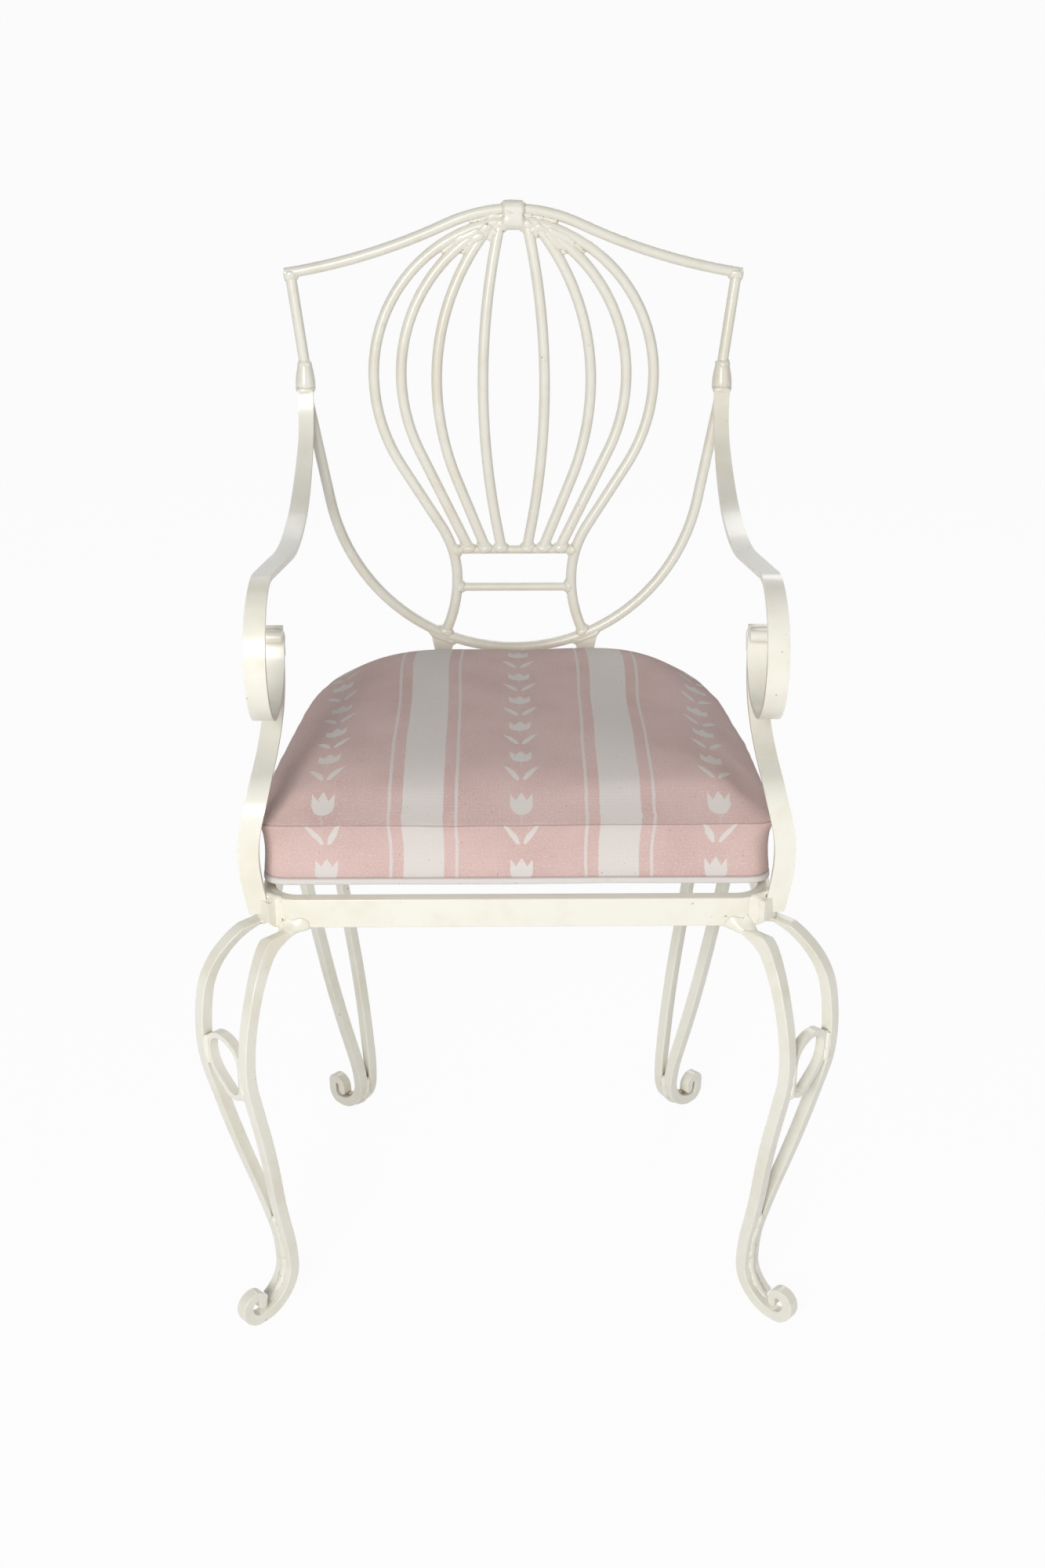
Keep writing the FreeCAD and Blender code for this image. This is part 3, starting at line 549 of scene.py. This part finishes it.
# Cushion: its outline and section are those of the solid it stands for
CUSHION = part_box("seat_cushion")
LOW, HIGH = Vector(CUSHION[0]), Vector(CUSHION[1])
FRONT = LOW.y
BACK = HIGH.y
HALF = HIGH.x
FLAT_BACK = 78 * MM
CORNER = 16 * MM
SIDE_RADIUS = 870 * MM
SIDE_TURN = math.radians(16.4)
SAG = 6.5 * MM
BAND = 52 * MM
CROWN = 23 * MM
CROWN_TURN = 36 * MM
SOLE_TURN = 11 * MM
SOLE_TURNS = 34 / 11
DRAW = 2.2 * MM
SEAM_GROOVE = 1.3 * MM
LOOP_STEPS = {"front": 22, "corner": 4, "side": 6, "sweep": 34, "round": 20, "back": 14}
HALF_LOOP = sum(LOOP_STEPS.values())
LOOP = 2 * HALF_LOOP
ACROSS = 2 * (LOOP_STEPS["front"] + LOOP_STEPS["corner"] // 2)
DEEP = (LOOP_STEPS["corner"] // 2 + LOOP_STEPS["side"] + LOOP_STEPS["sweep"]
        + LOOP_STEPS["round"] // 2)
JOIN = LOOP - ACROSS // 2
GRID_INSET = 7 * MM
LOW_SEAM = 0.10

# Rings of the cover: insets in millimetres under and on top, shares of the band between
FINE = {
    "under": (7, 3, 1.2),
    "band": (0, 0.045, 0.075, LOW_SEAM, 0.125, 0.17, 0.3, 0.5, 0.7, 0.84, 0.93, 0.975, 1),
    "top": (1.2, 3, 7),
}
COARSE = {"under": (7,), "band": (0, 0.16, 0.33, 0.5, 0.67, 0.84, 1), "top": (7,)}


class Pen:
    """Draws a line of points: straight stretches and left-hand arcs."""

    def __init__(self, x, y):
        self.points = [(x, y)]
        self.heading = 0.0

    def straight(self, length, steps):
        x, y = self.points[-1]
        for i in range(1, steps + 1):
            reach = length * i / steps
            self.points.append((x + reach * math.cos(self.heading),
                                y + reach * math.sin(self.heading)))

    def turn(self, radius, angle, steps):
        x, y = self.points[-1]
        start = self.heading
        for i in range(1, steps + 1):
            now = start + angle * i / steps
            self.points.append((x + radius * (math.sin(now) - math.sin(start)),
                                y - radius * (math.cos(now) - math.cos(start))))
        self.heading = start + angle


def outline(inset):
    """The cushion's plan drawn in by an inset, round from the middle of its front."""
    front = FRONT + inset
    back = BACK - inset
    corner = CORNER + inset * 0.12
    share = (back - front) / (back - front + 2 * inset)
    sweep = SIDE_RADIUS * share - inset / 2
    sine, cosine = math.sin(SIDE_TURN), math.cos(SIDE_TURN)
    rounding = share * (HALF - FLAT_BACK - SIDE_RADIUS * (1 - cosine)) / cosine
    straight = back - front - corner - sweep * sine - rounding * (1 - sine)
    pen = Pen(0.0, front)
    pen.straight(HALF - inset - corner, LOOP_STEPS["front"])
    pen.turn(corner, math.pi / 2, LOOP_STEPS["corner"])
    pen.straight(straight, LOOP_STEPS["side"])
    pen.turn(sweep, SIDE_TURN, LOOP_STEPS["sweep"])
    pen.turn(rounding, math.pi / 2 - SIDE_TURN, LOOP_STEPS["round"])
    pen.straight(pen.points[-1][0], LOOP_STEPS["back"])
    right = pen.points
    left = [(-x, y) for x, y in reversed(right[1:-1])]
    return np.array(right + left)


def from_edge(points):
    """How far points of the plan are from its outline."""
    loop = outline(0.0)
    best = np.full(len(points), 1.0)
    for start, end in zip(loop, np.roll(loop, -1, axis=0)):
        run = end - start
        share = np.clip(((points - start) @ run) / (run @ run), 0, 1)
        gap = points - start - share[:, None] * run
        best = np.minimum(best, np.sqrt((gap ** 2).sum(axis=1)))
    return best


def crown(away):
    """The top's rise above its seam: steep at the edge, flat in the middle."""
    return CROWN * 1.04 * (1 - np.exp(-away / CROWN_TURN))


def sole(away):
    """The underside's rise to its seam, over a few turns of its curve."""
    least = math.exp(-SOLE_TURNS)
    return SAG * max(0.0, (math.exp(-away / SOLE_TURN) - least) / (1 - least))


def grid_places():
    """The inner grid's plan: its border follows the outline, and the rest is blended from it."""
    loop = outline(GRID_INSET)
    i = np.arange(ACROSS + 1)
    j = np.arange(DEEP + 1)
    front = loop[(JOIN + i) % LOOP]
    back = loop[(ACROSS // 2 + DEEP + ACROSS - i) % LOOP]
    right = loop[(ACROSS // 2 + j) % LOOP]
    left = loop[(JOIN - j) % LOOP]
    u = (i / ACROSS)[:, None, None]
    v = (j / DEEP)[None, :, None]
    corners = ((1 - u) * (1 - v) * front[0] + u * (1 - v) * front[-1]
               + (1 - u) * v * back[0] + u * v * back[-1])
    sides = (1 - v) * front[:, None] + v * back[:, None] + (1 - u) * left[None] + u * right[None]
    return sides - corners


def border_number(i, j):
    """The place in the loop of a point on the grid's border, or None inside."""
    if j == 0:
        return (JOIN + i) % LOOP
    if i == ACROSS:
        return ACROSS // 2 + j
    if j == DEEP:
        return ACROSS // 2 + DEEP + ACROSS - i
    if i == 0:
        return (JOIN - j) % LOOP
    return None


def build_cushion(levels, groove):
    """Underside, boxing and top as rings round the outline, closed by two grids."""
    around = outline(0.0)
    lengths = np.linalg.norm(np.roll(around, -1, axis=0) - around, axis=1)
    before_front = lengths[JOIN:].sum()
    strip = [sum(lengths[(JOIN + n) % LOOP] for n in range(k)) - before_front
             for k in range(LOOP + 1)]

    # Each ring: inset, rise, panel, distance from a seam, place along the boxing
    rings = []
    for inset in levels["under"]:
        rings.append((inset * MM, sole(inset * MM), LINED, inset * MM + LOW_SEAM * BAND, 0))
    for share in levels["band"]:
        draw = DRAW * (1 - abs(2 * share - 1) ** 2.4)
        draw += groove if share in (LOW_SEAM, 1) else 0
        seam = min(abs(share - LOW_SEAM), 1 - share) * BAND
        rings.append((draw, SAG + BAND * share, BOXED, seam, -BAND * (1 - share)))
    for inset in levels["top"]:
        rings.append((inset * MM, SAG + BAND + crown(inset * MM), TOP, inset * MM, 0))
    verts = []
    seams = []
    for inset, rise, _, seam, _ in rings:
        verts += [(x, y, LOW.z + rise) for x, y in outline(inset)]
        seams += [seam] * LOOP
    faces = []
    cloth = []
    for level, (low, high) in enumerate(zip(rings, rings[1:])):
        panel = next(kind for kind in (LINED, TOP, BOXED) if kind in (low[2], high[2]))
        lining = high[2] == BOXED and high[4] <= -BAND * (1 - LOW_SEAM)
        for k in range(LOOP):
            i = (JOIN + k) % LOOP
            j = (i + 1) % LOOP
            first = level * LOOP
            face = (first + i, first + j, first + LOOP + j, first + LOOP + i)
            faces.append(face)
            if panel == BOXED:
                kind = LINED if lining else BOXED
                cloth += [(strip[k], low[4], kind), (strip[k + 1], low[4], kind),
                          (strip[k + 1], high[4], kind), (strip[k], high[4], kind)]
            else:
                cloth += [(verts[n][0], verts[n][1] - FRONT, panel) for n in face]
    places = grid_places()
    away = from_edge(places.reshape(-1, 2)).reshape(places.shape[:2])
    for ring, panel in ((len(rings) - 1, TOP), (0, LINED)):
        number = {}
        for i in range(ACROSS + 1):
            for j in range(DEEP + 1):
                border = border_number(i, j)
                if border is not None:
                    number[i, j] = ring * LOOP + border
                    continue
                number[i, j] = len(verts)
                x, y = places[i, j]
                rise = SAG + BAND + crown(away[i, j]) if panel == TOP else sole(away[i, j])
                verts.append((x, y, LOW.z + rise))
                seams.append(min(away[i, j], 30 * MM))
        for i in range(ACROSS):
            for j in range(DEEP):
                face = [number[i, j], number[i + 1, j], number[i + 1, j + 1], number[i, j + 1]]
                if panel == LINED:
                    face.reverse()
                faces.append(face)
                cloth += [(verts[n][0], verts[n][1] - FRONT, panel) for n in face]
    mesh = bpy.data.meshes.new("seat_cushion_cover")
    mesh.from_pydata(verts, [], faces)
    mesh.update()
    layer = mesh.attributes.new("cloth", "FLOAT_VECTOR", "CORNER")
    layer.data.foreach_set("vector", np.array(cloth, dtype=float).ravel())
    layer = mesh.attributes.new("seam", "FLOAT", "POINT")
    layer.data.foreach_set("value", seams)
    return link("seat_cushion_cover", mesh)


def places_of(mesh):
    flat = np.empty(3 * len(mesh.vertices))
    mesh.vertices.foreach_get("co", flat)
    return flat.reshape(-1, 3)


# The cushion's cloth while it is inflated, in Blender's own terms
CLOTH = {
    "quality": 6, "mass": 0.4, "tension_stiffness": 25, "compression_stiffness": 25,
    "bending_stiffness": 0.8, "use_pressure": True, "uniform_pressure_force": 4,
}
CLOTH_STEPS = 20
SWELL_CAP = 6 * MM
SEWN_REACH = 26 * MM
BLEND_REACH = 9 * MM
CHUNK = 500


def swell(cap):
    """How a coarse copy of the cushion moves as inflated cloth: its places and moves."""
    piece = build_cushion(COARSE, 0.0)
    before = places_of(piece.data)
    cloth = piece.modifiers.new("swell", "CLOTH")
    for name, value in CLOTH.items():
        setattr(cloth.settings, name, value)
    cloth.settings.effector_weights.gravity = 0
    cloth.point_cache.frame_start = 1
    cloth.point_cache.frame_end = CLOTH_STEPS
    scene = bpy.context.scene
    for step in range(1, CLOTH_STEPS + 1):
        scene.frame_set(step)
    shaped = piece.evaluated_get(bpy.context.evaluated_depsgraph_get())
    moves = places_of(shaped.data) - before
    scene.frame_set(1)
    bpy.data.objects.remove(piece)
    length = np.linalg.norm(moves, axis=1)
    moves *= np.minimum(1, cap / np.maximum(length, 1e-9))[:, None]
    return before, moves


def swollen(places, seams, before, moves):
    """Places moved as the nearest coarse points moved, but the sewn edges keep their line."""
    result = places.copy()
    free = np.clip(np.array(seams) / SEWN_REACH, 0, 1)
    loose = np.stack([0.2 * free, 0.5 * free, 0.3 + 0.7 * free], axis=1)
    for start in range(0, len(places), CHUNK):
        part = slice(start, start + CHUNK)
        gaps = ((places[part, None] - before[None]) ** 2).sum(axis=2)
        weights = np.exp(-gaps / (2 * BLEND_REACH ** 2)) + 1e-12
        blended = (weights @ moves) / weights.sum(axis=1)[:, None]
        result[part] += blended * loose[part]
    return result


# How the cover lies when it is filled and sewn: shares, wave counts to the metre, lengths
FULL_SIDES = 0.024
FULL_FROM, FULL_RUN = -0.005, 0.185
FULL_BACK = 2.4 * MM
WAVES, WAVE = 13, 1.5 * MM
GATHERS, GATHER, GATHER_REACH = 120, 0.9 * MM, 7 * MM
CORNER_PULL = Vector((4.0, -2.0, 0.6)) * MM
PULL_REACH = 10 * MM
SUPPORT_GAP = 0.6 * MM
SUPPORT_ROOM = 8 * MM
ROOF_GAP = 0.3 * MM
ROOF_ROOM = 14 * MM
PROUD_FRONT = 2.5 * MM


def settle(places, seams):
    """Fuller sides and back, soft unevenness, gathered seams and pulled front corners.

    Near the arm supports the cover keeps to the solid's width and height, so that it
    stays clear of them when it is lifted.
    """
    away = from_edge(places[:, :2])
    roof = LOW.z + SAG + BAND + crown(away) - ROOF_GAP
    for i, (x, y, z) in enumerate(places):
        height = min(1.0, max(0.0, (z - LOW.z - SAG) / BAND))
        point = Vector((x, y, z))
        full = math.sin(math.pi * min(1.0, max(0.0, (y - FULL_FROM) / FULL_RUN))) ** 2
        x *= 1 + FULL_SIDES * full * smooth(height * 3)
        z += FULL_BACK * smooth((y - 0.04) / 0.13) * height
        wave = noise.noise_vector(point * WAVES) * WAVE
        gather = noise.noise_vector(point * GATHERS) * GATHER * math.exp(-seams[i] / GATHER_REACH)
        uneven = wave + gather
        x += uneven.x * (0.35 + 0.65 * height)
        y += uneven.y * (0.35 + 0.65 * height)
        z += uneven.z * height
        corner = Vector((abs(x) - HALF + 3 * MM, y - FRONT - 3 * MM, z - LOW.z - SAG - BAND))
        pull = math.exp(-(corner.length / PULL_REACH) ** 2)
        x += math.copysign(CORNER_PULL.x * pull, x)
        y += CORNER_PULL.y * pull
        z += CORNER_PULL.z * pull
        behind = smooth((y - FRONT - 60 * MM) / (110 * MM))
        inside = smooth((away[i] - 12 * MM) / (50 * MM))
        x = math.copysign(min(abs(x), HALF - SUPPORT_GAP + SUPPORT_ROOM * behind), x)
        z = min(z, roof[i] + ROOF_ROOM * max(behind, inside))
        places[i] = x, max(y, FRONT - PROUD_FRONT), max(z, LOW.z)
    return places


def make_cushion():
    """The cushion's cover, in the place of its solid."""
    cushion = build_cushion(FINE, SEAM_GROOVE)
    places = places_of(cushion.data)
    seams = [value.value for value in cushion.data.attributes["seam"].data]
    swell(SWELL_CAP)  # the first run in a session varies a little; later ones don't
    places = swollen(places, seams, *swell(SWELL_CAP))
    cushion.data.vertices.foreach_set("co", settle(places, seams).ravel())
    cushion.data.update()
    finer = cushion.modifiers.new("finer", "SUBSURF")
    finer.levels = finer.render_levels = 1
    apply_all(cushion)
    smooth_faces(cushion.data)
    cushion.data.materials.append(tulip_canvas)
    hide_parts("seat_cushion")
    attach(cushion, "cushion")


# Stage: a floor that curves up behind the chair, three soft lamps and a pale sky
FLOOR_GLOW = 0.95
FLOOR_HALF = 7.0
FLOOR_FRONT = -6.0
CURVE_START = 2.5
CURVE_RADIUS = 1.5
CURVE_STEPS = 8
BACKDROP_TOP = 6.0
SKY = 0.27
MIDDLE = (0, 0, 0.45)
LAMPS = {
    "key": ((-0.7, -2.3, 1.35), MIDDLE, 40, (1.0, 1.0)),
    "fill": ((1.7, -1.7, 1.1), MIDDLE, 8, (1.2, 1.2)),
    "back": ((0.3, 2.1, 1.75), (0, 0, 0.5), 11, (1.6, 0.8)),
}


def make_floor_paint():
    """White to the camera and in reflections, with the chair's shadow kept."""
    finish = Finish("white_floor")
    finish.set(Base_Color=linear(FLOOR_PAINT), Roughness=0.7)
    glow = finish.node("Emission", None, {"Color": (1, 1, 1, 1), "Strength": 1.0})
    path = finish.node("LightPath", out="Is Camera Ray")
    mirrored = path.other_output("Is Glossy Ray")
    seen = finish.larger(path, mirrored, path.other_output("Is Transmission Ray"))
    plain = Wire(finish, finish.shader.outputs[0])
    both = finish.node("MixShader", None, {0: seen * FLOOR_GLOW, 1: plain, 2: glow})
    end = next(node for node in finish.tree.nodes if node.type == "OUTPUT_MATERIAL")
    finish.join(both, end.inputs["Surface"])
    return finish.material


def make_floor():
    """A pale floor that curves up behind the chair."""
    profile = [(FLOOR_FRONT, 0.0), (CURVE_START, 0.0)]
    for i in range(1, CURVE_STEPS + 1):
        angle = math.pi / 2 * i / CURVE_STEPS
        profile.append((CURVE_START + CURVE_RADIUS * math.sin(angle),
                        CURVE_RADIUS - CURVE_RADIUS * math.cos(angle)))
    profile.append((CURVE_START + CURVE_RADIUS, BACKDROP_TOP))
    verts = [(x, y, z) for y, z in profile for x in (-FLOOR_HALF, FLOOR_HALF)]
    faces = [(2 * i, 2 * i + 1, 2 * i + 3, 2 * i + 2) for i in range(len(profile) - 1)]
    mesh = bpy.data.meshes.new("studio_floor")
    mesh.from_pydata(verts, [], faces)
    smooth_faces(mesh)
    floor = link("studio_floor", mesh)
    floor.data.materials.append(make_floor_paint())


def add_lamp(name, place, aim, power, wide):
    """A soft rectangular lamp turned to its aim."""
    data = bpy.data.lights.new(name, "AREA")
    data.shape = "RECTANGLE"
    data.size, data.size_y = wide
    data.energy = power
    lamp = bpy.data.objects.new(name, data)
    bpy.context.scene.collection.objects.link(lamp)
    lamp.location = place
    lamp.rotation_euler = (Vector(aim) - Vector(place)).to_track_quat("-Z", "Y").to_euler()


def add_camera():
    """The camera at the photograph's place and angle."""
    data = bpy.data.cameras.new("photo_camera")
    data.sensor_width = 36.0
    data.sensor_fit = "AUTO"
    data.lens = CAMERA_LENS
    camera = bpy.data.objects.new("photo_camera", data)
    bpy.context.scene.collection.objects.link(camera)
    camera.location = CAMERA_PLACE
    camera.rotation_euler = (math.radians(CAMERA_TILT), 0.0, math.radians(CAMERA_YAW))
    bpy.context.scene.camera = camera


def light_world():
    """Soft sky light, and plain white where the camera sees past the floor."""
    world = bpy.data.worlds.new("studio")
    world.use_nodes = True
    nodes = world.node_tree.nodes
    sky = nodes["Background"]
    sky.inputs["Color"].default_value = (0.95, 0.97, 1.0, 1.0)
    sky.inputs["Strength"].default_value = SKY
    white = nodes.new("ShaderNodeBackground")
    white.inputs["Color"].default_value = (1.0, 1.0, 1.0, 1.0)
    either = nodes.new("ShaderNodeMixShader")
    path = nodes.new("ShaderNodeLightPath")
    join = world.node_tree.links.new
    join(path.outputs["Is Camera Ray"], either.inputs[0])
    join(sky.outputs[0], either.inputs[1])
    join(white.outputs[0], either.inputs[2])
    join(either.outputs[0], nodes["World Output"].inputs["Surface"])
    bpy.context.scene.world = world


cream_enamel = make_enamel()
tulip_canvas = make_cloth()
for name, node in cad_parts.items():
    part = name.removeprefix("left_").removeprefix("right_")
    if part in SOFT_EDGES:
        soften(name, SOFT_EDGES[part])
    elif name != "seat_cushion":
        node.data.materials.clear()
        node.data.materials.append(cream_enamel)
make_welds()
make_cushion()
make_floor()
for name, lamp in LAMPS.items():
    add_lamp(name, *lamp)
light_world()
add_camera()
bpy.context.scene.view_settings.view_transform = "Standard"
